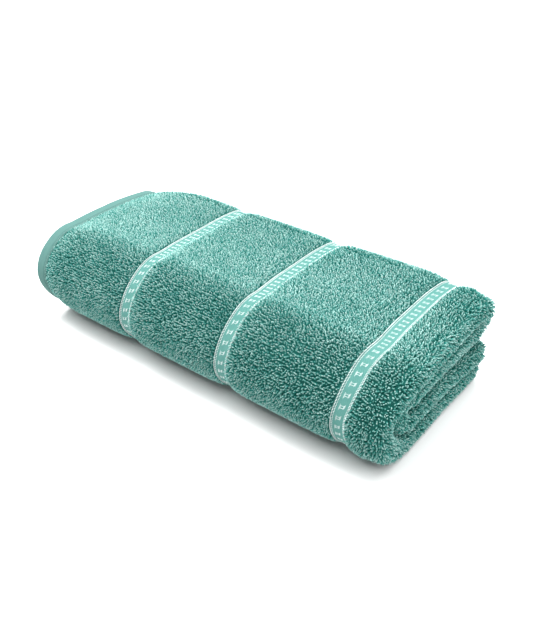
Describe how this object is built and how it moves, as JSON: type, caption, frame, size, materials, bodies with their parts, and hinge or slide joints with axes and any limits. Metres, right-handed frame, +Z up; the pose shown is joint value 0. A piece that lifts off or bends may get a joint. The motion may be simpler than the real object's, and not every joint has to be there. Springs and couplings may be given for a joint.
{
  "type": "bath towel",
  "caption": "Terry bath towel folded in three along its length and in four across its width, with woven dobby bands and flat sewn hems.",
  "frame": {"origin": "middle of the underside, where the folded towel rests", "axes": "+X along the fold towards the turned end, away from the sewn hem; +Y from the rounded front fold to the back; +Z up"},
  "size_m": [0.464, 0.206, 0.1077],
  "materials": {
    "terry": "matte terry loop pile",
    "hem": "smooth flat weave",
    "band": "flat weave with raised pale figure threads",
    "stitching": "twisted sewing thread"
  },
  "bodies": {
    "lower_half": {"bottom_panel_cloth": "terry", "bottom_panel_hem": "hem", "bottom_panel_hem_stitching": "stitching", "bottom_panel_tucked_hem": "hem", "bottom_panel_band_1": "band", "bottom_panel_band_2": "band", "bottom_panel_band_3": "band", "inside_panel_cloth": "terry", "inside_panel_hem": "hem", "inside_panel_hem_stitching": "stitching", "inside_panel_tucked_hem": "hem", "inside_panel_band_1": "band", "inside_panel_band_2": "band", "inside_panel_band_3": "band", "front_fold_cloth": "terry", "front_fold_hem": "hem", "front_fold_hem_stitching": "stitching", "front_fold_tucked_hem": "hem", "front_fold_band_1": "band", "front_fold_band_2": "band", "front_fold_band_3": "band", "inside_fold_cloth": "terry", "inside_fold_hem": "hem", "inside_fold_hem_stitching": "stitching", "inside_fold_tucked_hem": "hem", "inside_fold_band_1": "band", "inside_fold_band_2": "band", "inside_fold_band_3": "band"},
    "upper_half": {"upper_panel_cloth": "terry", "upper_panel_hem": "hem", "upper_panel_hem_stitching": "stitching", "upper_panel_tucked_hem": "hem", "upper_panel_band_1": "band", "upper_panel_band_2": "band", "upper_panel_band_3": "band"}
  },
  "joints": [
    {"name": "front_fold_open", "type": "hinge", "parent": "lower_half", "child": "upper_half", "pos_m": [0, -0.049, 0.05385], "axis": [1, 0, 0], "range_deg": [0, 180], "deforming": ["front_fold_cloth", "front_fold_hem", "front_fold_hem_stitching", "front_fold_tucked_hem", "front_fold_band_1", "front_fold_band_2", "front_fold_band_3", "inside_fold_cloth", "inside_fold_hem", "inside_fold_hem_stitching", "inside_fold_tucked_hem", "inside_fold_band_1", "inside_fold_band_2", "inside_fold_band_3"]}
  ]
}
